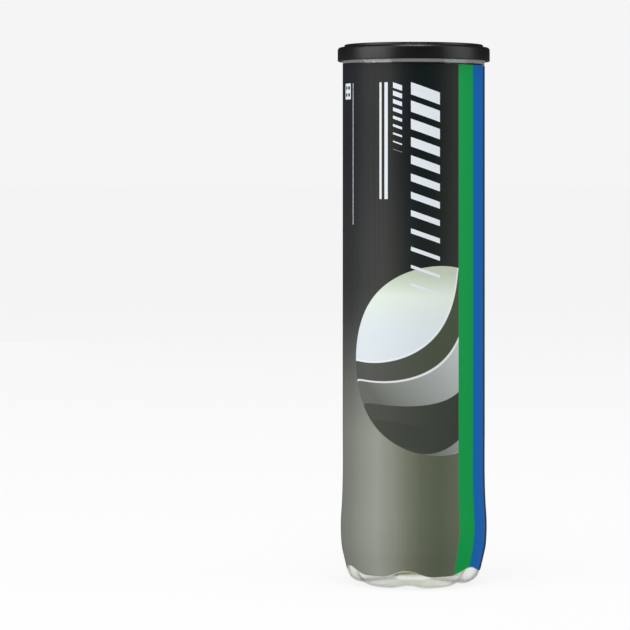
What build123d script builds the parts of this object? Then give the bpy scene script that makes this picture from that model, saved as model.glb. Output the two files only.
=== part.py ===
from build123d import *
import os
from math import cos, hypot, pi, radians, sin, sqrt

os.makedirs("parts", exist_ok=True)

# A pressurised can for four tennis balls, in millimetres: a blown clear plastic can on six feet, a
# heat-shrunk printed sleeve, an aluminium end seamed on with a ring pull, and a push-on cap.
# The origin is the centre of the ring that the feet stand on, +Z is up, and -Y is the sleeve's front.

# The can's side and its feet
body_radius = 36.55
wall = 0.55
belly_radius = 37.55
belly_height = 29.0
belly_top = 54.0
belly_reach = 11.0  # from the belly's widest to a point above it and one below it
belly_swell = 0.45
belly_fall = 0.6
foot_corner = (35.05, 10.0)
foot_curve = (32.6, 3.0)
foot_count = 6
first_valley = -96.0  # degrees from +X, so one valley is just left of the front
foot_radius = 26.0
foot_pad = 3.0
base_dome = 2.3
valley_radius = 2.3
valley_floor = 1.2
valley_flat = 24.7  # where the valley's floor leaves the level and bends up
valley_bend = 7.0
valley_turn = 71.0  # degrees, after which it climbs straight and runs out on the can's side
valley_run = 21.0
push_up_radius = 9.0
push_up_height = 3.5
neck_bead_height = 268.6
neck_bead_radius = 0.55
flange_lead = 0.95  # straight wall under the flange's first bend
flange_bend = 0.4

# The aluminium end and its double seam
sheet = 0.25
seam_radius = 37.9
seam_top = 272.4
seam_height = 2.9
seam_bend = 0.5
chuck_radius = 35.6  # inside face of the wall that the seaming chuck fits in
countersink_bottom = 266.4
countersink_width = 1.15
opening_radius = 34.0
hook_gap = 0.1
hook_overlap = 1.4
hook_rise = 0.55  # the can's own hook stops this far above the seam's foot
hook_bend = 0.4
foot_bend = 0.55  # the countersink's two lower bends
score_bend = 0.2
flange_drop = 0.475  # from the seam's top to the can's own flange

# The panel that tears out
panel_top = 270.4
panel_radius = 33.9
bead_radii = (29.8, 21.0)
bead_width = 1.6
bead_depth = 0.45
well_radius = 10.0
well_depth = 0.8
rivet_radius = 1.5
rivet_head_radius = 2.7
rivet_head = 0.45

# The ring pull, whose nose points to the front
nose = -31.9
tab_length = 36.0
tab_width = 22.0
nose_width = 15.0
nose_corner = 3.5
tab_thickness = 1.5
tab_lift = 0.2
tab_web = 0.5
tab_rim = 1.0
finger_size = 13.5
finger_corner = 6.0
tongue_length = 9.0
tongue_width = 8.0
tongue_sheet = 0.35
tongue_gap = 0.45
rivet_from_nose = 9.4

# The cap
cap_radius = 39.3
cap_wall = 1.1
cap_bottom = 268.4
cap_shoulder = 275.6
cap_top = 277.0
cap_edge = 1.5
plateau_radius = 35.7
dish_radius = 31.0
dish_depth = 0.9
snap_height = 269.15
snap_slope = 0.5
snap_flat = 0.15
snap_radius = 37.97
gate_radius = 2.4

# The balls, each a hollow rubber core in two halves under two felt panels and a seam
ball_radius = 33.0
ball_gap = 0.2
felt = 3.0
core_wall = 3.4
seam_width = 1.9
seam_drop = 0.9
glue_gap = 0.03
seam_swing = 0.17  # share of the radius that bends the seam out of a flat circle
seam_points = 36
ball_turns = ((20, 35, 10), (70, -20, 40), (-35, 15, 80), (10, 60, -25))

# The sleeve
film = 0.12
film_gap = 0.05
sleeve_top = 266.8
sleeve_top_tilt_x = 0.6
sleeve_top_tilt_y = 0.6
sleeve_foot_edge = 6.5
sleeve_valley_edge = 9.8
sleeve_arch_width = 23.0


def finish(piece, name):
    piece.label = name
    export_step(piece, f"parts/{name}.step")
    print(name, round(piece.volume, 1), piece.is_valid)


def beside(points, distance):
    """A line's points moved to its left by a distance, each corner mitred."""
    normals = []
    for (x0, y0), (x1, y1) in zip(points, points[1:]):
        length = hypot(x1 - x0, y1 - y0)
        normals.append(((y0 - y1) / length, (x1 - x0) / length))
    moved = []
    for i, (x, y) in enumerate(points):
        before = normals[max(i - 1, 0)]
        after = normals[min(i, len(normals) - 1)]
        share = distance / (1 + before[0] * after[0] + before[1] * after[1])
        moved.append((x + (before[0] + after[0]) * share, y + (before[1] + after[1]) * share))
    return moved


def formed_ring(points, bends, thickness):
    """A sheet turned about Z, from its middle line's points, its inner points' bends and its gauge."""
    radii_left = []
    radii_right = []
    for (x0, y0), (x1, y1), (x2, y2), bend in zip(points, points[1:], points[2:], bends):
        side = 1 if (x1 - x0) * (y2 - y1) > (y1 - y0) * (x2 - x1) else -1
        radii_left.append(bend - side * thickness / 2)
        radii_right.append(bend + side * thickness / 2)
    left = beside(points, thickness / 2)
    right = beside(points, -thickness / 2)
    with BuildPart() as ring:
        with BuildSketch(Plane.XZ):
            with BuildLine():
                FilletPolyline(*left, radius=radii_left)
                FilletPolyline(*right, radius=radii_right)
                Line(left[0], right[0])
                Line(left[-1], right[-1])
            make_face()
        revolve(axis=Axis.Z)
    return ring.part


def side_points(distance):
    """The can's side, from the wall down round the belly to the foot, moved outwards by a distance."""
    points = [
        (body_radius, belly_top),
        (body_radius + belly_swell, belly_height + belly_reach),
        (belly_radius, belly_height),
        (belly_radius - belly_fall, belly_height - belly_reach),
        foot_corner,
        foot_curve,
        (foot_radius + foot_pad / 2, 0),
    ]
    moved = beside(points, distance)
    moved[0] = (body_radius + distance, belly_top)
    moved[-1] = (foot_radius + foot_pad / 2, -distance)
    return moved


def can_blank(distance, top):
    """The can as a solid of revolution without its valleys, its surface moved outwards by a distance."""
    points = side_points(distance)
    pad_inside = (foot_radius - foot_pad / 2, -distance)
    dome = (0, base_dome - distance)
    with BuildPart() as blank:
        with BuildSketch(Plane.XZ):
            with BuildLine():
                Line((body_radius + distance, top), points[0])
                Spline(*points, tangents=[(0, -1), (-1, 0)])
                Line(points[-1], pad_inside)
                Spline(pad_inside, dome, tangents=[(-1, 0), (-1, 0)])
                Line(dome, (0, top))
                Line((0, top), (body_radius + distance, top))
            make_face()
        revolve(axis=Axis.Z)
    return blank.part


def valley(thickness):
    """The round-bottomed crease between two feet: level near the middle, bending up, then straight."""
    start = push_up_radius - 4
    height = valley_floor - valley_radius
    bend_height = valley_floor + valley_bend
    bend = Axis((valley_flat, 0, bend_height), (0, -1, 0))
    turn = radians(valley_turn)
    swing = valley_bend + valley_radius
    climb = Plane(origin=(valley_flat + swing * sin(turn), 0, bend_height - swing * cos(turn)),
                  z_dir=(cos(turn), 0, sin(turn)))
    with BuildPart() as space:
        with BuildSketch(Plane.YZ.offset(start)):
            with Locations((0, height)):
                Circle(valley_radius + thickness)
        extrude(amount=valley_flat - start)
        with BuildSketch(Plane.YZ.offset(valley_flat)):
            with Locations((0, height)):
                Circle(valley_radius + thickness)
        revolve(axis=bend, revolution_arc=valley_turn)
        with BuildSketch(climb):
            Circle(valley_radius + thickness)
        extrude(amount=valley_run)
    return space.part


def footed_form(thickness, top):
    """The can's solid form with its valleys and push-up, set in from the outside by a thickness."""
    space = valley(thickness)
    with BuildPart() as form:
        add(can_blank(-thickness, top))
        for i in range(foot_count):
            add(space.rotate(Axis.Z, first_valley + 360 / foot_count * i), mode=Mode.SUBTRACT)
        with Locations((0, 0, -1)):
            Cylinder(push_up_radius + thickness, push_up_height + thickness + 1,
                     align=(Align.CENTER, Align.CENTER, Align.MIN), mode=Mode.SUBTRACT)
    return form.part


# The blown can: walls of even thickness, a small bead at the neck, and a flange hooked into the seam
flange_height = seam_top - flange_drop - wall / 2
hook_radius = seam_radius - sheet - hook_gap - wall / 2
flange_start = flange_height - flange_lead
wall_middle = body_radius - wall / 2
flange_line = [
    (wall_middle, flange_start),
    (wall_middle, flange_height),
    (hook_radius, flange_height),
    (hook_radius, seam_top - seam_height + hook_rise),
]
with BuildPart() as can_body:
    add(footed_form(0, flange_start))
    add(footed_form(wall, flange_start + 1), mode=Mode.SUBTRACT)
    add(formed_ring(flange_line, (flange_bend, flange_bend), wall))
    with BuildSketch(Plane.XZ):
        with Locations((body_radius, neck_bead_height)):
            Circle(neck_bead_radius)
    revolve(axis=Axis.Z)
finish(can_body.part, "can_body")

# The shrunk sleeve: it follows the can's side, bridges the valleys, and ends in arches between the feet
arch_rise = sleeve_valley_edge - sleeve_foot_edge
arch_radius = ((sleeve_arch_width / 2) ** 2 + arch_rise**2) / (2 * arch_rise)
top_cut = Plane(origin=(0, 0, sleeve_top),
                z_dir=(sleeve_top_tilt_x, -sleeve_top_tilt_y, body_radius))
with BuildPart() as sleeve:
    add(can_blank(film_gap + film, sleeve_top + 5))
    add(can_blank(film_gap, sleeve_top + 6), mode=Mode.SUBTRACT)
    with Locations((0, 0, sleeve_foot_edge)):
        Cylinder(2 * belly_radius, 2 * sleeve_foot_edge, align=(Align.CENTER, Align.CENTER, Align.MAX),
                 mode=Mode.SUBTRACT)
    for i in range(foot_count):
        with Locations(Rotation(0, 0, first_valley + 360 / foot_count * i)):
            with Locations(Location((foot_radius, 0, sleeve_valley_edge - arch_radius), (0, 90, 0))):
                Cylinder(arch_radius, foot_radius, align=(Align.CENTER, Align.CENTER, Align.MIN),
                         mode=Mode.SUBTRACT)
    split(bisect_by=top_cut, keep=Keep.BOTTOM)
finish(sleeve.part, "sleeve")

# The end's ring: what stays on the can, from the torn edge round the countersink to the cover hook
inner_wall = chuck_radius - countersink_width - sheet / 2
seam_floor = seam_top - seam_height + sheet / 2
cover_hook = body_radius + hook_gap + sheet / 2
end_line = [
    (opening_radius, panel_top - sheet / 2),
    (inner_wall, panel_top - sheet / 2),
    (inner_wall, countersink_bottom + sheet / 2),
    (chuck_radius + sheet / 2, countersink_bottom + sheet / 2),
    (chuck_radius + sheet / 2, seam_top - sheet / 2),
    (seam_radius - sheet / 2, seam_top - sheet / 2),
    (seam_radius - sheet / 2, seam_floor),
    (cover_hook, seam_floor),
    (cover_hook, seam_floor + sheet / 2 + hook_overlap),
]
end_bends = (score_bend, foot_bend, foot_bend, seam_bend, seam_bend, hook_bend, hook_bend)
end_ring = formed_ring(end_line, end_bends, sheet)
finish(end_ring, "end_ring")

# The sealing compound, between the can's flange and the top of the seam
compound_inside = body_radius - wall / 2
compound_outside = hook_radius - 0.1
with BuildPart() as seam_compound:
    with Locations((0, 0, seam_top - flange_drop)):
        Cylinder(compound_outside, flange_drop - sheet, align=(Align.CENTER, Align.CENTER, Align.MIN))
        Cylinder(compound_inside, flange_drop - sheet, align=(Align.CENTER, Align.CENTER, Align.MIN),
                 mode=Mode.SUBTRACT)
finish(seam_compound.part, "seam_compound")


def panel_form(drop):
    """Everything under the panel's top surface, with its beads and finger well, lowered by a drop."""
    top = panel_top - drop
    well_ball = (well_radius**2 + well_depth**2) / (2 * well_depth)
    bead_ball = ((bead_width / 2) ** 2 + bead_depth**2) / (2 * bead_depth)
    with BuildPart() as form:
        with Locations((0, 0, top)):
            Cylinder(panel_radius, 4, align=(Align.CENTER, Align.CENTER, Align.MAX))
        for radius in bead_radii:
            with BuildSketch(Plane.XZ):
                with Locations((radius, top - bead_depth + bead_ball)):
                    Circle(bead_ball)
            revolve(axis=Axis.Z, mode=Mode.SUBTRACT)
        with Locations((0, nose + tab_length - 3, top - well_depth + well_ball)):
            Sphere(well_ball, mode=Mode.SUBTRACT)
    return form.part


# The panel inside the score line: one gauge of sheet throughout, with the rivet drawn up out of it
rivet_y = nose + rivet_from_nose
rivet_top = panel_top + tongue_sheet + rivet_head
with BuildPart() as tear_panel:
    add(panel_form(0))
    add(panel_form(sheet), mode=Mode.SUBTRACT)
    with Locations((0, rivet_y, panel_top - sheet / 2)):
        Cylinder(rivet_radius, rivet_top - panel_top + sheet / 2,
                 align=(Align.CENTER, Align.CENTER, Align.MIN))
    with Locations((0, rivet_y, rivet_top - rivet_head)):
        Cylinder(rivet_head_radius, rivet_head, align=(Align.CENTER, Align.CENTER, Align.MIN))
    fillet(tear_panel.edges().filter_by(GeomType.CIRCLE).group_by(Axis.Z)[-1], 0.2)
    with Locations((0, rivet_y, panel_top - 1)):
        Cylinder(rivet_radius - 0.5, 1.3, align=(Align.CENTER, Align.CENTER, Align.MIN),
                 mode=Mode.SUBTRACT)
finish(tear_panel.part, "tear_panel")

# The tab's tongue: the island held under the rivet, which stays on the panel while the ring lifts
with BuildPart() as tab_tongue:
    with BuildSketch(Plane.XY.offset(panel_top)):
        with Locations((0, rivet_y)):
            RectangleRounded(tongue_width, tongue_length, 2.0)
            Circle(rivet_radius + 0.02, mode=Mode.SUBTRACT)
    extrude(amount=tongue_sheet)
finish(tab_tongue.part, "tab_tongue")

# The ring pull: a web of sheet between curled edges, a finger hole, and a slot that clears the tongue
tab_bottom = panel_top + tab_lift
tab_end = nose + tab_length
finger_y = tab_end - 4.2 - finger_size / 2
slot_size = (tongue_width + 2 * tongue_gap, tongue_length + 2 * tongue_gap)


def tab_plan(rim):
    """The tab's plan less a rim of a given width: the hull of a round ring and a squarer nose, with
    the finger hole and the tongue's slot taken out."""
    nose_x = nose_width / 2 - nose_corner
    ring_radius = tab_width / 2
    with BuildSketch() as plan:
        with BuildLine():
            for x in (-nose_x, nose_x):
                CenterArc((x, nose + nose_corner), nose_corner - rim, 0, 360)
            CenterArc((0, tab_end - ring_radius), ring_radius - rim, 0, 360)
        make_hull()
        with Locations((0, finger_y)):
            RectangleRounded(finger_size + 2 * rim, finger_size + 2 * rim, finger_corner + rim,
                             mode=Mode.SUBTRACT)
        with Locations((0, rivet_y)):
            RectangleRounded(slot_size[0] + 2 * rim, slot_size[1] + 2 * rim, 2 + rim, mode=Mode.SUBTRACT)
    return plan.sketch


with BuildPart() as pull_tab:
    with BuildSketch(Plane.XY.offset(tab_bottom)):
        add(tab_plan(0))
    extrude(amount=tab_thickness)
    rims = pull_tab.faces().sort_by(Axis.Z)[0].edges() + pull_tab.faces().sort_by(Axis.Z)[-1].edges()
    fillet(rims, tab_rim * 0.45)
    for level in (tab_bottom - 1, tab_bottom + (tab_thickness + tab_web) / 2):
        with BuildSketch(Plane.XY.offset(level)):
            add(tab_plan(tab_rim))
        extrude(amount=1 + (tab_thickness - tab_web) / 2, mode=Mode.SUBTRACT)
finish(pull_tab.part, "pull_tab")

# The cap: a skirt, a stepped top with a shallow dish, and low ridges that snap under the seam
skirt_inside = cap_radius - cap_wall
with BuildPart() as overcap:
    with BuildSketch(Plane.XZ):
        with BuildLine():
            Polyline(
                (0, cap_top - dish_depth),
                (dish_radius, cap_top - dish_depth),
                (dish_radius + 0.6, cap_top),
                (plateau_radius, cap_top),
                (plateau_radius + 0.3, cap_shoulder),
                (cap_radius, cap_shoulder),
                (cap_radius, cap_bottom),
                (skirt_inside, cap_bottom),
                (skirt_inside, cap_shoulder - cap_wall),
                (plateau_radius - 0.8, cap_shoulder - cap_wall),
                (plateau_radius - 1.1, cap_top - cap_wall),
                (dish_radius + 1.6, cap_top - cap_wall),
                (dish_radius + 1.0, cap_top - dish_depth - cap_wall),
                (0, cap_top - dish_depth - cap_wall),
                (0, cap_top - dish_depth),
            )
        make_face()
    revolve(axis=Axis.Z)
    outer_edges = overcap.edges().filter_by(GeomType.CIRCLE)
    shoulder_edge = outer_edges.filter_by(
        lambda e: abs(e.radius - cap_radius) < 0.01 and abs(e.center().Z - cap_shoulder) < 0.01)
    fillet(shoulder_edge, cap_edge)
    soft_edges = overcap.edges().filter_by(GeomType.CIRCLE).filter_by(
        lambda e: e.radius < plateau_radius + 0.5 and e.center().Z > cap_shoulder - 0.1)
    fillet(soft_edges, 0.3)
    foot_edges = overcap.edges().filter_by(GeomType.CIRCLE).filter_by(
        lambda e: abs(e.center().Z - cap_bottom) < 0.01)
    fillet(foot_edges, 0.3)
    with BuildSketch(Plane.XZ):
        with BuildLine():
            Polyline(
                (skirt_inside + 0.2, snap_height - snap_slope),
                (snap_radius, snap_height - snap_flat),
                (snap_radius, snap_height + snap_flat),
                (skirt_inside + 0.2, snap_height + snap_slope),
                close=True,
            )
        make_face()
    revolve(axis=Axis.Z)
    with Locations((0, 0, cap_top - dish_depth - 0.2)):
        Cylinder(gate_radius, 0.5, align=(Align.CENTER, Align.CENTER, Align.MIN), mode=Mode.SUBTRACT)
finish(overcap.part, "overcap")


def seam_curve(radius, offset):
    """The tennis seam on a sphere, moved sideways along the sphere by an offset, as a closed curve."""
    wide = 1 - seam_swing
    tall = 2 * sqrt(seam_swing * wide)

    def middle(t):
        return Vector(wide * cos(t) + seam_swing * cos(3 * t), wide * sin(t) - seam_swing * sin(3 * t),
                      tall * sin(2 * t))

    points = []
    for i in range(seam_points):
        t = 2 * pi * i / seam_points
        outwards = middle(t).normalized()
        along = (middle(t + 0.001) - middle(t - 0.001)).normalized()
        across = outwards.cross(along)
        angle = offset / ball_radius
        points.append((outwards * cos(angle) + across * sin(angle)) * radius)
    return Edge.make_spline(points, periodic=True)


def seam_band(inside, outside, width):
    """A band that follows the seam, bounded by two radii, with sides that point to the ball's centre."""
    corners = [
        seam_curve(inside, -width / 2),
        seam_curve(outside, -width / 2),
        seam_curve(outside, width / 2),
        seam_curve(inside, width / 2),
    ]
    sides = [Face.make_surface_from_curves(a, b) for a, b in zip(corners, corners[1:] + corners[:1])]
    return Solid(Shell(sides))


# One ball, built round the origin and then turned and stacked
felt_inside = ball_radius - felt
core_outside = felt_inside - glue_gap
with BuildPart() as core_half:
    Sphere(core_outside)
    Sphere(core_outside - core_wall, mode=Mode.SUBTRACT)
    split(bisect_by=Plane.XY, keep=Keep.TOP)
with BuildPart() as felt_shell:
    Sphere(ball_radius)
    Sphere(felt_inside, mode=Mode.SUBTRACT)
    add(seam_band(felt_inside - 1, ball_radius + 1, seam_width + 2 * glue_gap), mode=Mode.SUBTRACT)
felt_panels = felt_shell.part.solids().sort_by(Axis.X)
seam = seam_band(felt_inside + glue_gap, ball_radius - seam_drop, seam_width)
ball_pieces = {
    "core_a": core_half.part,
    "core_b": core_half.part.rotate(Axis.X, 180),
    "felt_a": felt_panels[0],
    "felt_b": felt_panels[-1],
    "seam": seam,
}
print("felt panels", [round(panel.volume) for panel in felt_shell.part.solids()])
first_ball = push_up_height + wall + ball_gap / 2 + ball_radius
for i, turn in enumerate(ball_turns):
    place = Location((0, 0, first_ball + i * (2 * ball_radius + ball_gap)), turn)
    for name, piece in ball_pieces.items():
        finish(piece.moved(place), f"ball_{i + 1}_{name}")
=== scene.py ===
import math
import re

import bpy
import numpy as np
from mathutils import Matrix, Vector


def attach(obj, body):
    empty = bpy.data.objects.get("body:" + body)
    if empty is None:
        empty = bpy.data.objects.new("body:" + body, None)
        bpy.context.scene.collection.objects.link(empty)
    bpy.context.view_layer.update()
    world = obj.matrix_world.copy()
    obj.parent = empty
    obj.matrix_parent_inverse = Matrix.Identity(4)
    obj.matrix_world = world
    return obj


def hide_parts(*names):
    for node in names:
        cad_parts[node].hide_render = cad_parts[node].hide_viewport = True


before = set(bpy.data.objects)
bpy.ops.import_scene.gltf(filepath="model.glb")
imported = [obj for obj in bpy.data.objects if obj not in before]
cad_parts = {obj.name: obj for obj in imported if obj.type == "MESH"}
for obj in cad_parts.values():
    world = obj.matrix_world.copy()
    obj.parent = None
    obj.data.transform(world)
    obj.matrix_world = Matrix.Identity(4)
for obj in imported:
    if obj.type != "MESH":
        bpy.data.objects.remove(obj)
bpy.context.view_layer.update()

mm = 0.001


# a socket that takes part in sums
class Signal:
    def __init__(self, finish, socket):
        self.finish = finish
        self.socket = socket

    def math(self, operation, *others, flip=False):
        values = [self, *others]
        if flip:
            values.reverse()
        return self.finish.add("ShaderNodeMath", {"operation": operation}, dict(enumerate(values)))

    def __add__(self, other):
        return self.math("ADD", other)

    def __sub__(self, other):
        return self.math("SUBTRACT", other)

    def __mul__(self, other):
        return self.math("MULTIPLY", other)

    def __truediv__(self, other):
        return self.math("DIVIDE", other)

    def __pow__(self, other):
        return self.math("POWER", other)

    def __lt__(self, other):
        return self.math("LESS_THAN", other)

    def __gt__(self, other):
        return self.math("GREATER_THAN", other)

    def __rsub__(self, other):
        return self.math("SUBTRACT", other, flip=True)

    def __rtruediv__(self, other):
        return self.math("DIVIDE", other, flip=True)

    __radd__ = __add__
    __rmul__ = __mul__

    def clip(self):
        return self.finish.add("ShaderNodeClamp", {}, {"Value": self})

    def rise(self, start, end):  # 0 below start, 1 above end, smooth between
        return self.finish.add("ShaderNodeMapRange", {"interpolation_type": "SMOOTHSTEP"},
                               {"Value": self, "From Min": start, "From Max": end})


# one material and the nodes that feed its shader
class Finish:
    def __init__(self, name, **values):
        self.material = bpy.data.materials.new(name)
        self.material.use_nodes = True
        self.tree = self.material.node_tree
        self.shader = self.tree.nodes["Principled BSDF"]
        self.use(**values)

    def spaced(self, key):  # baseColor to Base Color
        words = re.sub("(?<=[a-z])(?=[A-Z])|(?<=[A-Z])(?=[A-Z][a-z])", " ", key)
        return words[0].upper() + words[1:]

    def plug(self, node, name, value):
        socket = node.inputs[name]
        if isinstance(value, Signal):
            self.tree.links.new(value.socket, socket)
        elif isinstance(value, tuple) and len(value) == 3 and socket.type == "RGBA":
            socket.default_value = (*value, 1.0)
        else:
            socket.default_value = value

    def add(self, kind, settings, values, output=0):
        node = self.tree.nodes.new(kind)
        for name, value in settings.items():
            if name == "stops":
                self.setStops(node.color_ramp, value)
            else:
                setattr(node, name, value)
        for name, value in values.items():
            self.plug(node, name, value)
        return Signal(self, node.outputs[output])

    def setStops(self, ramp, stops):
        while len(ramp.elements) < len(stops):
            ramp.elements.new(0.5)
        for element, (place, colour) in zip(ramp.elements, stops):
            element.position = place
            element.color = (*colour, 1.0)

    def place(self):  # a point on the piece, in metres
        return self.add("ShaderNodeTexCoord", {}, {}, output=3)

    def parts(self, vector):
        node = self.add("ShaderNodeSeparateXYZ", {}, {"Vector": vector}).socket.node
        return [Signal(self, out) for out in node.outputs]

    def noise(self, scale, detail=2.0, where=None, roughness=0.5):
        return self.add("ShaderNodeTexNoise", {}, {"Vector": where or self.place(), "Scale": scale,
                                                   "Detail": detail, "Roughness": roughness})

    def stretched(self, x, y, z):  # the place, scaled along each axis
        return self.add("ShaderNodeVectorMath", {"operation": "MULTIPLY"}, {0: self.place(), 1: (x, y, z)})

    def mix(self, share, a, b):
        return self.add("ShaderNodeMix", {"data_type": "RGBA"}, {0: share, 6: a, 7: b}, output=2)

    def ramp(self, value, stops):
        return self.add("ShaderNodeValToRGB", {"stops": stops}, {"Fac": value})

    def bump(self, height, distance, strength=1.0):
        normal = self.add("ShaderNodeBump", {},
                          {"Height": height, "Distance": distance, "Strength": strength})
        self.plug(self.shader, "Normal", normal)

    def use(self, **values):  # the shader's own sockets by name
        for key, value in values.items():
            self.plug(self.shader, self.spaced(key), value)


def shade(r, g, b):  # a colour as seen on a screen, 0 to 255, as the shader's linear values
    return tuple(((c / 255 + 0.055) / 1.055) ** 2.4 if c > 10 else c / 255 / 12.92 for c in (r, g, b))


def newPiece(name, vertices, faces, material, body, nodes, sharp):
    mesh = bpy.data.meshes.new(name)
    mesh.from_pydata(vertices, [], faces)
    mesh.validate()
    mesh.update()
    piece = bpy.data.objects.new(name, mesh)
    bpy.context.scene.collection.objects.link(piece)
    piece.data.materials.append(material)
    mesh.shade_smooth()
    mesh.set_sharp_from_angle(angle=math.radians(sharp))
    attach(piece, body)
    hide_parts(*nodes)
    return piece


def sheetFaces(rows, columns, first=0, wrapRows=False, wrapColumns=True):
    faces = []
    for i in range(rows if wrapRows else rows - 1):
        for j in range(columns if wrapColumns else columns - 1):
            a = i * columns + j
            b = i * columns + (j + 1) % columns
            c = (i + 1) % rows * columns + (j + 1) % columns
            d = (i + 1) % rows * columns + j
            faces.append((first + a, first + b, first + c, first + d))
    return faces


def softened(points, radii, steps=6):  # a line with its inner corners rounded
    line = [points[0]]
    for before, corner, after, radius in zip(points, points[1:], points[2:], radii):
        corner = Vector(corner)
        a = (Vector(before) - corner).normalized()
        b = (Vector(after) - corner).normalized()
        half = a.angle(b) / 2
        if radius <= 0 or half > math.pi / 2 - 0.01:
            line.append(tuple(corner))
            continue
        reach = radius / math.tan(half)
        middle = corner + (a + b).normalized() * radius / math.sin(half)
        start = corner + a * reach - middle
        end = corner + b * reach - middle
        for k in range(steps + 1):
            sweep = math.atan2(start.x * end.y - start.y * end.x, start.dot(end)) * k / steps
            line.append(tuple(middle + Matrix.Rotation(sweep, 2) @ start))
    line.append(points[-1])
    return line


def turnedRows(profile, columns):
    angles = np.linspace(0, 2 * math.pi, columns, endpoint=False)
    profile = np.array(profile)
    x = profile[:, :1] * np.cos(angles)
    y = profile[:, :1] * np.sin(angles)
    z = np.repeat(profile[:, 1:], columns, axis=1)
    return np.stack([x, y, z], axis=2) * mm


# the can: clear blown plastic on six feet with a narrow valley between each pair
canSizes = {
    "radius": 36.55, "wall": 0.55, "bellyRadius": 37.55, "bellyHeight": 29.0, "bellyTop": 54.0,
    "feet": 6, "firstValley": -96.0, "footRadius": 26.0, "footPad": 3.0, "dome": 2.3,
    "valleyRadius": 2.3, "valleyFloor": 1.2, "valleyFlat": 24.7, "valleyBend": 7.0, "valleyTurn": 71.0,
    "valleyFlare": 1.7, "flareHeight": 9.5, "pushUpRadius": 9.0, "pushUpHeight": 3.5, "rimSoftness": 1.6,
    "beadHeight": 268.6, "neckTop": 271.2, "wallRows": (60.0, 110.0, 150.0, 190.0, 230.0, 262.0),
    "bead": ((0.7, 0.0), (0.5, 0.28), (0.25, 0.52), (0.0, 0.58), (-0.25, 0.52), (-0.5, 0.28), (-0.7, 0.0)),
    "rayCentre": 46.0, "rayNear": 20.0, "rayFar": 62.0, "rounds": 26, "columns": 432,
}


def sideRadius(height, out=0.0):  # the can's side without its valleys, as a radius for each height
    s = canSizes
    foot = s["footRadius"] + s["footPad"] / 2
    outline = [(0, foot + 1.6), (1.0, 30.4), (3, 32.6), (6, 34.1), (10, 35.15), (14, 36.1), (18, 36.95),
               (23, 37.4), (s["bellyHeight"], s["bellyRadius"]), (34, 37.4), (40, 37.0), (47, 36.7),
               (s["bellyTop"], s["radius"]), (80, s["radius"])]
    heights, radii = zip(*outline)
    return smoothCurve(np.asarray(height, float), heights, radii) + out


def smoothCurve(x, xs, ys):  # a monotone curve through a few points
    xs = np.array(xs, float)
    ys = np.array(ys, float)
    slope = np.gradient(ys, xs)
    i = np.clip(np.searchsorted(xs, x) - 1, 0, len(xs) - 2)
    h = xs[i + 1] - xs[i]
    t = np.clip((x - xs[i]) / h, 0, 1)
    return ((2 * t**3 - 3 * t**2 + 1) * ys[i] + (t**3 - 2 * t**2 + t) * h * slope[i]
            + (3 * t**2 - 2 * t**3) * ys[i + 1] + (t**3 - t**2) * h * slope[i + 1])


def softMax(a, b, k):
    h = np.clip(0.5 + 0.5 * (a - b) / k, 0, 1)
    return b + (a - b) * h + k * h * (1 - h)


def outsideCan(p):  # above zero outside the can's outer surface, below zero in it, in millimetres
    s = canSizes
    r = np.hypot(p[..., 0], p[..., 1])
    z = p[..., 2]
    side = r - sideRadius(np.clip(z, 0, 80))
    floor = np.where(r < s["footRadius"], s["dome"] * np.clip(1 - r / s["footRadius"], 0, 1) ** 0.8, 0) - z
    d = softMax(side, floor, 3.0)
    swing = s["valleyBend"] + s["valleyRadius"]
    last = math.radians(s["valleyTurn"])
    flare = 1 + s["valleyFlare"] * np.clip(1 - z / s["flareHeight"], 0, 1)
    for k in range(s["feet"]):
        turn = math.radians(s["firstValley"] + 360 / s["feet"] * k)
        u = p[..., 0] * math.cos(turn) + p[..., 1] * math.sin(turn) - s["valleyFlat"]
        v = (-p[..., 0] * math.sin(turn) + p[..., 1] * math.cos(turn)) / flare
        down = s["valleyFloor"] + s["valleyBend"] - z
        passed = np.arctan2(u, down)
        level = np.abs(swing - down)
        bend = np.abs(np.hypot(u, down) - swing)
        climb = np.abs(u * math.sin(last) + down * math.cos(last) - swing)
        off = np.hypot(np.where(passed < 0, level, np.where(passed < last, bend, climb)), v)
        off = np.where(u < 4 - s["valleyFlat"], 99.0, off)
        d = softMax(d, s["valleyRadius"] - off, s["rimSoftness"])
    push = np.maximum(r - s["pushUpRadius"], z - s["pushUpHeight"])
    return softMax(d, -push, 1.0)


def baseRows(inset, steps):  # rings of points from the side down to the middle of the base
    s = canSizes
    centre = np.array([0, 0, s["rayCentre"]])
    angles = np.linspace(0, 2 * math.pi, s["columns"], endpoint=False)
    rows = []
    for tilt in np.linspace(0.0, 1.0, steps)[:-1]:
        down = math.radians(90 * tilt ** 0.9)
        ray = np.stack([np.cos(angles) * math.cos(down), np.sin(angles) * math.cos(down),
                        np.full_like(angles, -math.sin(down))], axis=1)
        near = np.full_like(angles, s["rayNear"])
        far = np.full_like(angles, s["rayFar"])
        for _ in range(s["rounds"]):
            middle = (near + far) / 2
            out = outsideCan(ray * middle[:, None] + centre) > -inset
            far = np.where(out, middle, far)
            near = np.where(out, near, middle)
        rows.append(ray * near[:, None] + centre)
    return np.array(rows) * mm


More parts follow.
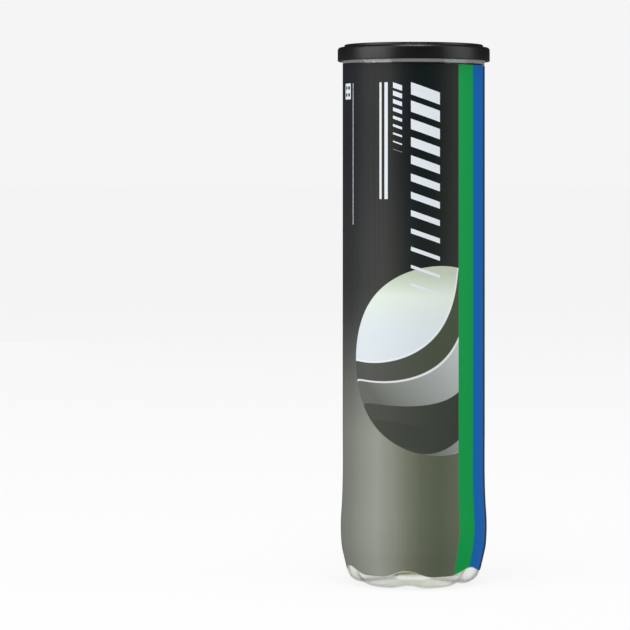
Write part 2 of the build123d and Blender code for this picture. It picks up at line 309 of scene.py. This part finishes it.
def makeCan(material):
    s = canSizes
    r = s["radius"]
    neck = [(r, s["neckTop"])]
    neck += [(r + out, s["beadHeight"] + up) for up, out in s["bead"]]
    neck += [(r, z) for z in reversed(s["wallRows"])]
    inner = [(r - s["wall"], z) for z in (*s["wallRows"], s["neckTop"])]
    hooked = [(-0.55, 271.6), (-0.4, 271.85), (-0.1, 271.93), (0.725, 271.93), (0.93, 271.8), (1.0, 271.55),
              (1.0, 270.05), (0.45, 270.05), (0.45, 271.2), (0.3, 271.38), (0.1, 271.38)]
    flange = [(r + out, z) for out, z in hooked]
    outside = turnedRows(neck, s["columns"])
    inside = turnedRows(inner, s["columns"])
    lip = turnedRows(flange, s["columns"])
    below = baseRows(0.0, 130)
    above = baseRows(s["wall"], 70)[::-1]
    outerCount = len(outside) + len(below)
    rows = np.concatenate([outside, below, above, inside, lip])
    vertices = rows.reshape(-1, 3).tolist()
    c = s["columns"]
    faces = sheetFaces(outerCount, c)
    faces += sheetFaces(len(rows) - outerCount, c, first=outerCount * c)
    last = (len(rows) - 1) * c
    faces += [(last + j, last + (j + 1) % c, (j + 1) % c, j) for j in range(c)]
    for start, flip in ((outerCount - 1, False), (outerCount, True)):
        middle = np.array(vertices[start * c:(start + 1) * c]).mean(axis=0)
        vertices.append(middle.tolist())
        fan = [(start * c + j, start * c + (j + 1) % c, len(vertices) - 1) for j in range(c)]
        faces += [f[::-1] for f in fan] if flip else fan
    return newPiece("canShell", vertices, faces, material, "can", ["can_body"], sharp=60)


clearLook = {
    "tint": shade(222, 228, 224), "roughness": 0.08, "passed": (0.975, 0.98, 0.977), "edgeBlend": 0.4,
    "edgePower": 4.0, "edgeShare": 0.6, "faceShare": 0.025, "frost": (0.2666, 0.2672), "frostShare": 0.55,
    "frostDull": 0.28,
}


def clearPlastic():
    look = clearLook
    f = Finish("clear blown plastic", baseColor=look["tint"], roughness=look["roughness"], IOR=1.57)
    ripples = f.noise(60.0, 1.0, f.stretched(1, 1, 0.5)) + f.noise(320.0) * 0.1
    f.bump(ripples, 0.0004, 0.25)
    see = f.add("ShaderNodeBsdfTransparent", {}, {"Color": look["passed"]})
    edge = f.add("ShaderNodeLayerWeight", {}, {"Blend": look["edgeBlend"]}, output=1)
    frost = f.parts(f.place())[2].rise(*look["frost"])  # the drawn plastic of the neck is cloudy
    f.use(metallic=1 - frost * look["frostDull"])
    solid = edge ** look["edgePower"] * look["edgeShare"] + look["faceShare"] + frost * look["frostShare"]
    solid = solid.clip()
    blend = f.tree.nodes.new("ShaderNodeMixShader")
    f.plug(blend, 0, solid)
    f.tree.links.new(see.socket, blend.inputs[1])
    f.tree.links.new(f.shader.outputs[0], blend.inputs[2])
    f.tree.links.new(blend.outputs[0], f.tree.nodes["Material Output"].inputs["Surface"])
    return f.material


# the printed sleeve
sleeveSizes = {
    "gap": 0.05, "film": 0.12, "top": 266.8, "tiltX": 0.6, "tiltY": 0.6,
    "footEdge": 6.5, "valleyEdge": 9.8, "archWidth": 23.0, "archRadius": 36.0, "archSpread": 1.25,
    "cutLine": 0.4, "columns": 360, "rows": 150,
}


def sleeveEdges(angles):  # the lower and the upper edge's height at each angle
    s = sleeveSizes
    step = 2 * math.pi / canSizes["feet"]
    off = (angles - math.radians(canSizes["firstValley"]) + step / 2) % step - step / 2
    across = np.abs(off) * s["archRadius"] / (s["archWidth"] / 2) / s["archSpread"]
    arch = 0.5 + 0.5 * np.cos(np.clip(across, 0, 1) * math.pi)
    low = s["footEdge"] + (s["valleyEdge"] - s["footEdge"]) * arch
    high = s["top"] - s["tiltX"] * np.cos(angles) + s["tiltY"] * np.sin(angles)
    return low, high


def makeSleeve(material, cutMaterial):
    s = sleeveSizes
    angles = np.linspace(0, 2 * math.pi, s["columns"], endpoint=False)
    low, high = sleeveEdges(angles)
    steps = np.linspace(0, 1, s["rows"]) ** 1.6
    steps[1] = s["cutLine"] / s["top"]
    rows = []
    for out, order in ((s["gap"] + s["film"], steps), (s["gap"], steps[::-1])):
        for t in order:
            z = low + (high - low) * t
            r = sideRadius(np.minimum(z, 80)) + out
            rows.append(np.stack([r * np.cos(angles), r * np.sin(angles), z], axis=1) * mm)
    vertices = np.concatenate(rows).tolist()
    faces = sheetFaces(2 * s["rows"], s["columns"], wrapRows=True)
    piece = newPiece("printedSleeve", vertices, faces, material, "can", ["sleeve"], sharp=50)
    piece.data.materials.append(cutMaterial)  # the unprinted line along the lower cut
    for face in piece.data.polygons:
        if min(face.vertices) < s["columns"]:
            face.material_index = 1
    return piece


sleevePrint = {
    # the ink by its angle in degrees from the front, at the top and at the bottom of the sleeve; the print
    # darkens from left to right, and on top of that the lighter band near -31 to -15 degrees is a painted
    # highlight and the darkest ink near the front is painted shade
    "topInkAndPaintedLight": [(-110, shade(30, 32, 35)), (-60, shade(33, 35, 39)), (-31, shade(43, 43, 43)),
               (-21, shade(44, 44, 44)), (-7, shade(25, 30, 31)), (2, shade(15, 24, 27)),
               (16, shade(18, 25, 25)), (38, shade(38, 41, 37)), (110, shade(32, 34, 34))],
    "bottomInkAndPaintedLight": [(-110, shade(104, 107, 100)), (-60, shade(112, 115, 108)), (-30, shade(136, 140, 131)),
                  (-15, shade(123, 126, 114)), (-5, shade(105, 109, 94)), (6, shade(90, 96, 80)),
                  (20, shade(82, 88, 71)), (38, shade(90, 97, 79)), (110, shade(112, 116, 104))],
    # edge is a darker copy of the blue in a thin band next to the can's outline as seen from the front:
    # painted shade
    "green": shade(0, 141, 66), "blue": shade(0, 90, 164), "edge": shade(14, 50, 88),
    "stripes": (38.2, 55.3, 75.9, 77.4), "stripeDrift": 2.0,
    "ballAngle": 21.7, "ballHeight": 116.0, "ballRadius": 48.0, "lobeTilt": 52.0, "lobeTurn": 39.0,
    "paleInk": shade(206, 212, 217),
    # bars: start, end, low, high, pitch and slant, in millimetres from the front and from the floor
    "bars": ((-1.4, 13.5, 150.0, 256.6, 9.2, 0.35), (-10.6, -5.9, 222.9, 256.6, 4.2, 0.35),
             (-15.2, -13.4, 197.7, 256.6, 200.0, 0.0), (-18.0, -16.8, 197.7, 256.6, 200.0, 0.0),
             (-36.9, -36.5, 184.6, 256.6, 400.0, 0.0)),
    "boxCorner": (-46.1, 248.5), "boxSize": (7.0, 8.1), "pips": (0.28, 0.72), "pipRadius": 1.05,
    "roundRadius": 36.7,
}


def paleBars(f, along, height):  # plain slanted bars, thin rules, and a box with one pip for each ball
    marks = 0.0
    for start, end, low, high, pitch, slant in sleevePrint["bars"]:
        level = height + (along - start) * slant  # bars and their ends slope together
        inside = (along > start) * (along < end) * (level > low) * (level < high)
        phase = ((high - level) / pitch).math("FRACT")
        thick = 0.6 * ((level - low) / (high - low)).clip() + 0.1 if slant else 1.0
        marks = inside * (phase < thick) + marks
    left, bottom = sleevePrint["boxCorner"]
    wide, tall = sleevePrint["boxSize"]
    box = (along > left) * (along < left + wide) * (height > bottom) * (height < bottom + tall)
    for i in sleevePrint["pips"]:
        for j in sleevePrint["pips"]:
            away = ((along - (left + wide * i)) ** 2.0 + (height - (bottom + tall * j)) ** 2.0) ** 0.5
            box = box * (away > sleevePrint["pipRadius"])
    return (marks + box).clip()


def greyBall(f, s, t, inside):  # a plain tennis ball in greys: a pale lobe, the seam's dark band, a dim side
    p = sleevePrint
    depth = inside.clip() ** 0.5
    tilt = math.radians(p["lobeTilt"])
    turn = math.radians(p["lobeTurn"])
    lobe = Vector((-math.sin(tilt) * math.sin(turn), math.cos(tilt), math.sin(tilt) * math.cos(turn)))
    view = Vector((0, 1, 0))
    tip = (view - lobe * view.dot(lobe)).normalized()
    side = lobe.cross(tip)
    u, v, w = [s * axis.x + depth * axis.y + t * axis.z for axis in (lobe, side, tip)]
    seam = w - (u * u - v * v)
    pale = f.ramp(t * 0.5 + 0.5, [(0.0, shade(196, 203, 208)), (0.66, shade(202, 210, 214)),
                                  (0.84, shade(207, 216, 206)), (0.96, shade(176, 186, 168))])
    dim = f.mix((s * 0.6 + 0.62 + t * 0.5).clip(), shade(92, 95, 88), shade(186, 194, 193))
    groove = f.mix((s * 0.9 + 0.7).clip(), shade(76, 76, 72), shade(64, 76, 55))
    under = f.mix((s * 0.8 + 0.4).clip(), shade(66, 70, 63), shade(34, 43, 36))
    ball = f.mix(seam.rise(0.0, 0.01), pale, groove)
    ball = f.mix(seam.rise(0.44, 0.45), ball, dim)
    ball = f.mix(seam.rise(0.9, 0.91), ball, under)
    ball = f.mix(seam.rise(1.14, 1.15), ball, f.mix((s + 0.5).clip(), shade(60, 66, 57), shade(50, 58, 48)))
    for edge in (0.0, 0.445):
        line = 1 - (seam - edge).math("ABSOLUTE").rise(0.012, 0.026)
        ball = f.mix(line * 0.8, ball, shade(222, 227, 228))
    return ball


def printedFilm():
    p = sleevePrint
    f = Finish("printed shrink film", specularIORLevel=0.1)
    x, y, z = f.parts(f.place())
    angle = f.add("ShaderNodeMath", {"operation": "ARCTAN2"}, {0: x, 1: y * -1.0}) * (180 / math.pi)
    roundPerDegree = math.radians(p["roundRadius"])
    along = angle * roundPerDegree  # millimetres round the can from the front
    height = z / mm
    brushed = f.noise(1.0, 2.0, f.stretched(900.0, 900.0, 4.0))
    turned = (angle + 180.0) / 360.0 + (brushed - 0.5) * 0.012
    # these ramps carry the print together with a painted highlight band left of the front and painted shade
    # at the front, set by the angle from the front
    top, bottom = [f.ramp(turned, [((a + 180) / 360, colour) for a, colour in p[ink]])
                   for ink in ("topInkAndPaintedLight", "bottomInkAndPaintedLight")]
    fade = (1 - height.rise(62.0, 160.0)) ** 1.2 + (1 - height.rise(150.0, 235.0)) * 0.07
    colour = f.mix((fade + (brushed - 0.5) * 0.06).clip(), top, bottom)
    s = (along - p["ballAngle"] * roundPerDegree) / p["ballRadius"]
    t = (height - p["ballHeight"]) / p["ballRadius"]
    inside = 1 - s * s - t * t
    colour = f.mix(inside.rise(0.0, 0.01), colour, greyBall(f, s, t, inside))
    colour = f.mix(paleBars(f, along, height), colour, p["paleInk"])
    # the third band, in the edge colour, is painted shade along the can's outline as seen from the front
    bands = ((p["stripes"][0], p["green"]), (p["stripes"][1], p["blue"]), (p["stripes"][2], p["edge"]),
             (p["stripes"][3], shade(38, 41, 42)))
    shrunk = angle + (1 - height.rise(16.0, 32.0)) * p["stripeDrift"]  # the film draws in at the feet
    for start, tint in bands:
        colour = f.mix(shrunk > start, colour, tint)
    f.use(baseColor=colour, roughness=f.noise(40.0) * 0.08 + 0.38)
    f.bump(f.noise(70.0, 2.0, f.stretched(1, 1, 0.25)) + brushed * 0.03, 0.0003, 0.2)
    return f.material


def bareFilm():  # the film's cut edge, where no ink reaches
    f = Finish("bare film edge", specularIORLevel=0.3)
    f.use(baseColor=f.ramp(f.noise(300.0), [(0.3, shade(176, 164, 120)), (0.7, shade(214, 206, 168))]),
          roughness=f.noise(500.0) * 0.2 + 0.3)
    return f.material


# the balls
ballSizes = {
    "radius": 33.0, "gap": 0.2, "first": 37.15, "seamWidth": 2.3, "seamDepth": 1.15, "seamSteps": 320,
    "swing": 0.17, "samples": 480, "cuts": 56, "nap": 0.32, "fuzz": 5200, "fuzzLength": 1.1,
    "fuzzWidth": 0.035, "seamShape": ((-1.0, -1.9), (-1.0, -1.15), (-0.7, -1.0), (-0.35, -1.08), (0, -1.12),
                                      (0.35, -1.08), (0.7, -1.0), (1.0, -1.15), (1.0, -1.9)),
    "turns": ((20, 35, 10), (70, -20, 40), (-35, 15, 80), (10, 60, -25)),
}


def seamPoint(t):
    b = ballSizes["swing"]
    a = 1 - b
    p = np.stack([a * np.cos(t) + b * np.cos(3 * t), a * np.sin(t) - b * np.sin(3 * t),
                  2 * math.sqrt(a * b) * np.sin(2 * t)], axis=-1)
    return p / np.linalg.norm(p, axis=-1, keepdims=True)


def seamFrame(count):  # points of the seam on the unit sphere, and the way across it at each
    t = np.linspace(0, 2 * math.pi, count, endpoint=False)
    middle = seamPoint(t)
    along = seamPoint(t + 0.001) - seamPoint(t - 0.001)
    along /= np.linalg.norm(along, axis=1, keepdims=True)
    return middle, np.cross(middle, along)


def seamDistance(points):  # signed millimetres along the ball from the middle of the seam
    middle, across = seamFrame(ballSizes["samples"])
    unit = points / np.linalg.norm(points, axis=1, keepdims=True)
    near = np.argmax(unit @ middle.T, axis=1)
    gap = np.arccos(np.clip(np.sum(unit * middle[near], axis=1), -1, 1))
    side = np.sign(np.sum(unit * across[near], axis=1))
    return gap * side * ballSizes["radius"]


def ballSphere(cuts):  # an even sphere made from a cube
    steps = np.tan(np.linspace(-math.pi / 4, math.pi / 4, cuts + 1))
    a, b = np.meshgrid(steps, steps)
    ones = np.ones_like(a)
    points = []
    faces = []
    for axis in range(3):
        for sign in (-1, 1):
            side = np.roll(np.stack([a * sign, b, ones * sign], axis=-1), axis, axis=-1).reshape(-1, 3)
            faces += sheetFaces(cuts + 1, cuts + 1, first=len(points) * (cuts + 1) ** 2, wrapColumns=False)
            points.append(side)
    points = np.concatenate(points)
    return points / np.linalg.norm(points, axis=1, keepdims=True), faces


def hashNoise(points, scale, seed):  # smooth random values made from a few sine waves
    waves = np.random.default_rng(seed).normal(0, 1, (24, 3))
    waves /= np.linalg.norm(waves, axis=1, keepdims=True)
    phases = np.random.default_rng(seed + 1).uniform(0, 2 * math.pi, 24)
    spread = np.random.default_rng(seed + 2).uniform(0.6, 1.6, 24)
    return np.sin(points @ (waves * spread[:, None]).T * scale + phases).sum(axis=1) / 6


def ballPlace(index):
    turn = [math.radians(a) for a in ballSizes["turns"][index]]
    rotation = (Matrix.Rotation(turn[0], 3, "X") @ Matrix.Rotation(turn[1], 3, "Y")
                @ Matrix.Rotation(turn[2], 3, "Z"))
    height = ballSizes["first"] + index * (2 * ballSizes["radius"] + ballSizes["gap"])
    return np.array(rotation), np.array([0, 0, height])


def makeFelt(index, side, points, faces, distance, material):
    s = ballSizes
    keep = distance * side > -0.35
    kept = [f for f in faces if all(keep[i] for i in f)]
    used = sorted({i for f in kept for i in f})
    order = {old: new for new, old in enumerate(used)}
    kept = [tuple(order[i] for i in f) for f in kept]
    p = points[used]
    off = np.abs(distance[used])
    edge = np.clip((off - s["seamWidth"] * 0.3) / 1.7, 0, 1)
    height = s["radius"] - s["nap"] - s["seamDepth"] * (1 - edge) ** 2.2
    height += 0.13 * hashNoise(p, 60, index * 10 + 3) * edge + 0.1 * hashNoise(p, 160, index * 10 + 4) * edge
    rotation, middle = ballPlace(index)
    shell = p * height[:, None]
    fuzzPoints, fuzzFaces = makeFuzz(p, height, edge, index * 2 + (side > 0))
    vertices = np.concatenate([shell, fuzzPoints]) @ rotation.T + middle
    kept += [tuple(i + len(shell) for i in f) for f in fuzzFaces]
    name = f"ball{index + 1}Felt{'A' if side < 0 else 'B'}"
    node = f"ball_{index + 1}_felt_{'a' if side < 0 else 'b'}"
    return newPiece(name, (vertices * mm).tolist(), kept, material, f"ball_{index + 1}",
                    [node], 180)


def makeFuzz(points, height, edge, seed):  # short curled fibres that lie over the felt
    s = ballSizes
    draw = np.random.default_rng(100 + seed)
    roots = draw.choice(np.flatnonzero(edge > 0.25), s["fuzz"])
    n = points[roots]
    root = n * (height[roots] - 0.1)[:, None]
    lean = draw.normal(0, 1, (len(roots), 3))
    lean -= n * np.sum(lean * n, axis=1, keepdims=True)
    lean /= np.linalg.norm(lean, axis=1, keepdims=True)
    curl = np.cross(n, lean)
    long = s["fuzzLength"] * draw.uniform(0.6, 1.3, (len(roots), 1))
    wide = s["fuzzWidth"]
    turn = draw.normal(0, 0.5, (len(roots), 1))
    line = [root, root + lean * long * 0.35 + n * 0.28,
            root + lean * long * 0.7 + curl * turn * 0.4 + n * 0.34,
            root + lean * long + curl * turn + n * 0.2]
    vertices = []
    for place, share in zip(line, (1.0, 1.0, 0.8, 0.3)):
        vertices += [place - curl * wide * share, place + curl * wide * share + n * 0.02]
    count = len(roots)
    faces = [(count * (2 * k) + i, count * (2 * k + 1) + i, count * (2 * k + 3) + i, count * (2 * k + 2) + i)
             for k in range(3) for i in range(count)]
    return np.concatenate(vertices), faces


def makeSeam(index, material):
    s = ballSizes
    middle, across = seamFrame(s["seamSteps"])
    wobble = 0.04 * hashNoise(middle, 40, index + 60)[:, None]
    rows = []
    for off, height in s["seamShape"]:
        angle = off * s["seamWidth"] / 2 / s["radius"]
        unit = middle * math.cos(angle) + across * math.sin(angle)
        rows.append(unit * (s["radius"] + height + wobble))
    rotation, centre = ballPlace(index)
    vertices = (np.concatenate(rows) @ rotation.T + centre) * mm
    faces = sheetFaces(len(rows), s["seamSteps"], wrapRows=True)
    return newPiece(f"ball{index + 1}Seam", vertices.tolist(), faces, material, f"ball_{index + 1}",
                    [f"ball_{index + 1}_seam"], 60)


def ballFelt():
    f = Finish("yellow ball felt", roughness=0.95, specularIORLevel=0.15, sheenWeight=0.2, sheenRoughness=0.5)
    f.plug(f.shader, "Sheen Tint", (0.85, 1.0, 0.4, 1.0))
    clumps = f.noise(260.0, 4.0, roughness=0.65)
    fibres = f.noise(1.0, 3.0, f.stretched(1400, 2600, 1900))
    tone = clumps * 0.65 + fibres * 0.35
    f.use(baseColor=f.ramp(tone, [(0.3, shade(112, 130, 14)), (0.5, shade(172, 186, 22)),
                                  (0.7, shade(200, 208, 50))]))
    f.bump(tone, 0.0008, 0.7)
    return f.material


def seamCement():
    f = Finish("seam cement", roughness=0.6)
    grain = f.noise(500.0, 3.0)
    f.use(baseColor=f.ramp(grain, [(0.3, shade(196, 202, 176)), (0.7, shade(226, 230, 210))]))
    f.bump(grain, 0.0002, 0.5)
    return f.material


def makeBalls():
    felt = ballFelt()
    cement = seamCement()
    points, faces = ballSphere(ballSizes["cuts"])
    distance = seamDistance(points)
    for index in range(len(ballSizes["turns"])):
        makeFelt(index, -1, points, faces, distance, felt)
        makeFelt(index, 1, points, faces, distance, felt)
        makeSeam(index, cement)


# the cap
capSizes = {
    "radius": 39.3, "wall": 1.1, "bottom": 268.4, "shoulder": 275.6, "top": 277.0, "plateau": 35.7,
    "dish": 31.0, "dishDepth": 0.9, "gate": (2.2, 2.5), "gateDepth": 0.45, "edge": 1.5, "snap": 37.97,
    "snapHeight": 269.15, "columns": 320,
}


def makeCap(material):
    s = capSizes
    inside = s["radius"] - s["wall"]
    floor = s["top"] - s["dishDepth"]
    profile = [
        (0.01, floor - s["gateDepth"]), (s["gate"][0], floor - s["gateDepth"]), (s["gate"][1], floor),
        (s["dish"], floor), (s["dish"] + 0.6, s["top"]),
        (s["plateau"], s["top"]), (s["plateau"] + 0.3, s["shoulder"]), (s["radius"], s["shoulder"]),
        (s["radius"], s["bottom"]), (inside, s["bottom"]), (inside, s["snapHeight"] - 0.4),
        (s["snap"], s["snapHeight"] - 0.15), (s["snap"], s["snapHeight"] + 0.15),
        (inside, s["snapHeight"] + 0.5),
        (inside, s["shoulder"] - s["wall"]), (s["plateau"] - 0.8, s["shoulder"] - s["wall"]),
        (s["plateau"] - 1.1, s["top"] - s["wall"]), (s["dish"] + 1.6, s["top"] - s["wall"]),
        (s["dish"] + 1.0, floor - s["wall"]), (0.01, floor - s["wall"]),
    ]
    radii = [0.15, 0.2, 0.5, 0.5, 0.35, 0.4, s["edge"], 0.35, 0.35, 0.1, 0.1, 0.1, 0.1, 0.5, 0.2, 0.3, 0.3,
             0.3]
    outline = softened(profile, radii)
    vertices = turnedRows(outline, s["columns"]).reshape(-1, 3).tolist()
    faces = sheetFaces(len(outline), s["columns"], wrapRows=True)
    return newPiece("snapCap", vertices, faces, material, "cap", ["overcap"], 40)


def capPlastic():
    f = Finish("black moulded plastic", specularIORLevel=0.5)
    grain = f.noise(2600.0, 2.0)
    flow = f.noise(30.0, 2.0)
    f.use(baseColor=f.ramp(flow, [(0.3, shade(8, 8, 9)), (0.7, shade(12, 12, 13))]),
          roughness=grain * 0.1 + flow * 0.06 + 0.26)
    f.bump(grain, 0.00006, 0.6)
    return f.material


# the metal end, kept as the solids are
def brushedAluminium(name, tint, grainX, grainY):
    f = Finish(name, metallic=1.0, roughness=0.3)
    grain = f.noise(1.0, 3.0, f.stretched(grainX, grainY, 60))
    marks = f.noise(180.0, 3.0)
    f.use(baseColor=f.ramp(marks, [(0.3, shade(*(c - 12 for c in tint))), (0.7, shade(*tint))]),
          roughness=grain * 0.2 + 0.3)
    f.bump(grain, 0.00004, 0.5)
    return f.material


def sealingCompound():
    f = Finish("sealing compound", roughness=0.7)
    grain = f.noise(400.0, 3.0)
    f.use(baseColor=f.ramp(grain, [(0.3, shade(168, 156, 132)), (0.7, shade(186, 174, 150))]))
    f.bump(grain, 0.0001, 0.4)
    return f.material


def coreRubber():
    f = Finish("core rubber", roughness=0.8)
    grain = f.noise(300.0, 4.0)
    f.use(baseColor=f.ramp(grain, [(0.3, shade(38, 38, 38)), (0.7, shade(58, 57, 55))]))
    f.bump(grain, 0.0002, 0.5)
    return f.material


def finishKept():
    endMetal = brushedAluminium("rolled aluminium end", (226, 226, 228), 40, 1500)
    tabMetal = brushedAluminium("tab aluminium", (214, 214, 217), 1500, 60)
    kept = {"end_ring": endMetal, "tear_panel": endMetal, "tab_tongue": tabMetal, "pull_tab": tabMetal,
            "seam_compound": sealingCompound()}
    rubber = coreRubber()
    for index in range(len(ballSizes["turns"])):
        for half in "ab":
            kept[f"ball_{index + 1}_core_{half}"] = rubber
    for node, material in kept.items():
        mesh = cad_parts[node].data
        mesh.materials.clear()
        mesh.materials.append(material)


# floor, lights and camera
studio = {
    "cameraDistance": 1.395, "cameraHeight": 0.2088, "lens": 154.2, "shiftX": -0.1567, "shiftY": -0.219,
    "floorSize": 60.0, "floorPaint": 0.1, "floorGlow": 0.86, "floorDull": 0.9, "backdrop": 0.913,
    "roomLight": 0.42, "roomGloss": 0.04,
    "leftBox": (-63, 1.5, 0.35, (1.5, 2.4), 2.3), "rightBox": (74, 1.5, 0.35, (1.2, 2.4), 1.5),
    "backLeftBox": (-150, 1.9, 0.5, (1.2, 2.0), 0.6), "backRightBox": (140, 1.9, 0.5, (1.2, 2.0), 0.6),
    "topBox": (0, 0.45, 1.5, (0.6, 0.9), 8.0), "unreflected": ("backLeftBox", "backRightBox"),
}


def makeFloor():
    size = studio["floorSize"]
    mesh = bpy.data.meshes.new("studioFloor")
    corners = [(-size, -size, 0), (size, -size, 0), (size, size, 0), (-size, size, 0)]
    mesh.from_pydata(corners, [], [(0, 1, 2, 3)])
    floor = bpy.data.objects.new("studioFloor", mesh)
    bpy.context.scene.collection.objects.link(floor)
    paint = (studio["floorPaint"],) * 3
    f = Finish("pale floor", baseColor=paint, roughness=1.0, specularIORLevel=0.0,
               emissionStrength=studio["floorGlow"])
    path = f.add("ShaderNodeLightPath", {}, {}, output="Is Glossy Ray")
    f.use(emissionColor=f.mix(path, (1.0, 1.0, 1.0), (1 - studio["floorDull"],) * 3))
    mesh.materials.append(f.material)


def softBox(name):  # a wide lamp that looks at the can: its bearing, distance, height, size and brightness
    bearing, distance, height, (wide, tall), bright = studio[name]
    light = bpy.data.lights.new(name, "AREA")
    light.shape = "RECTANGLE"
    light.size = wide
    light.size_y = tall
    light.energy = bright * math.pi * wide * tall
    lamp = bpy.data.objects.new(name, light)
    turn = math.radians(bearing)
    lamp.location = (distance * math.sin(turn), -distance * math.cos(turn), height)
    aim = Vector((0, 0, 0.14)) - lamp.location
    lamp.rotation_euler = aim.to_track_quat("-Z", "Y").to_euler()
    lamp.visible_glossy = name not in studio["unreflected"]
    bpy.context.scene.collection.objects.link(lamp)


def makeStudio():
    world = bpy.data.worlds.new("studio")
    world.use_nodes = True
    bpy.context.scene.world = world
    tree = world.node_tree
    path = tree.nodes.new("ShaderNodeLightPath")
    light = tree.nodes["Background"]
    light.inputs["Color"].default_value = (1, 1, 1, 1)
    light.inputs["Strength"].default_value = studio["roomLight"]
    seen = light
    for ray, strength in (("Is Glossy Ray", studio["roomGloss"]), ("Is Camera Ray", studio["backdrop"])):
        other = tree.nodes.new("ShaderNodeBackground")
        other.inputs["Color"].default_value = (1, 1, 1, 1)
        other.inputs["Strength"].default_value = strength
        blend = tree.nodes.new("ShaderNodeMixShader")
        tree.links.new(path.outputs[ray], blend.inputs[0])
        tree.links.new(seen.outputs[0], blend.inputs[1])
        tree.links.new(other.outputs[0], blend.inputs[2])
        seen = blend
    tree.links.new(seen.outputs[0], tree.nodes["World Output"].inputs[0])
    for name in [name for name in studio if name.endswith("Box")]:
        softBox(name)


def makeCamera():
    s = studio
    camera = bpy.data.cameras.new("camera")
    camera.lens = s["lens"]
    camera.sensor_width = 36.0
    camera.shift_x = s["shiftX"]
    camera.shift_y = s["shiftY"]
    camera.clip_end = 200.0
    eye = bpy.data.objects.new("camera", camera)
    eye.location = (0, -s["cameraDistance"], s["cameraHeight"])
    eye.rotation_euler = (math.pi / 2, 0, 0)
    bpy.context.scene.collection.objects.link(eye)
    bpy.context.scene.camera = eye
    bpy.context.scene.view_settings.view_transform = "Standard"


makeFloor()
makeStudio()
makeCamera()
print("studio ready")
finishKept()
print("metal end finished")
makeCan(clearPlastic())
print("can made")
makeSleeve(printedFilm(), bareFilm())
print("sleeve made")
makeBalls()
print("balls made")
makeCap(capPlastic())
print("cap made")
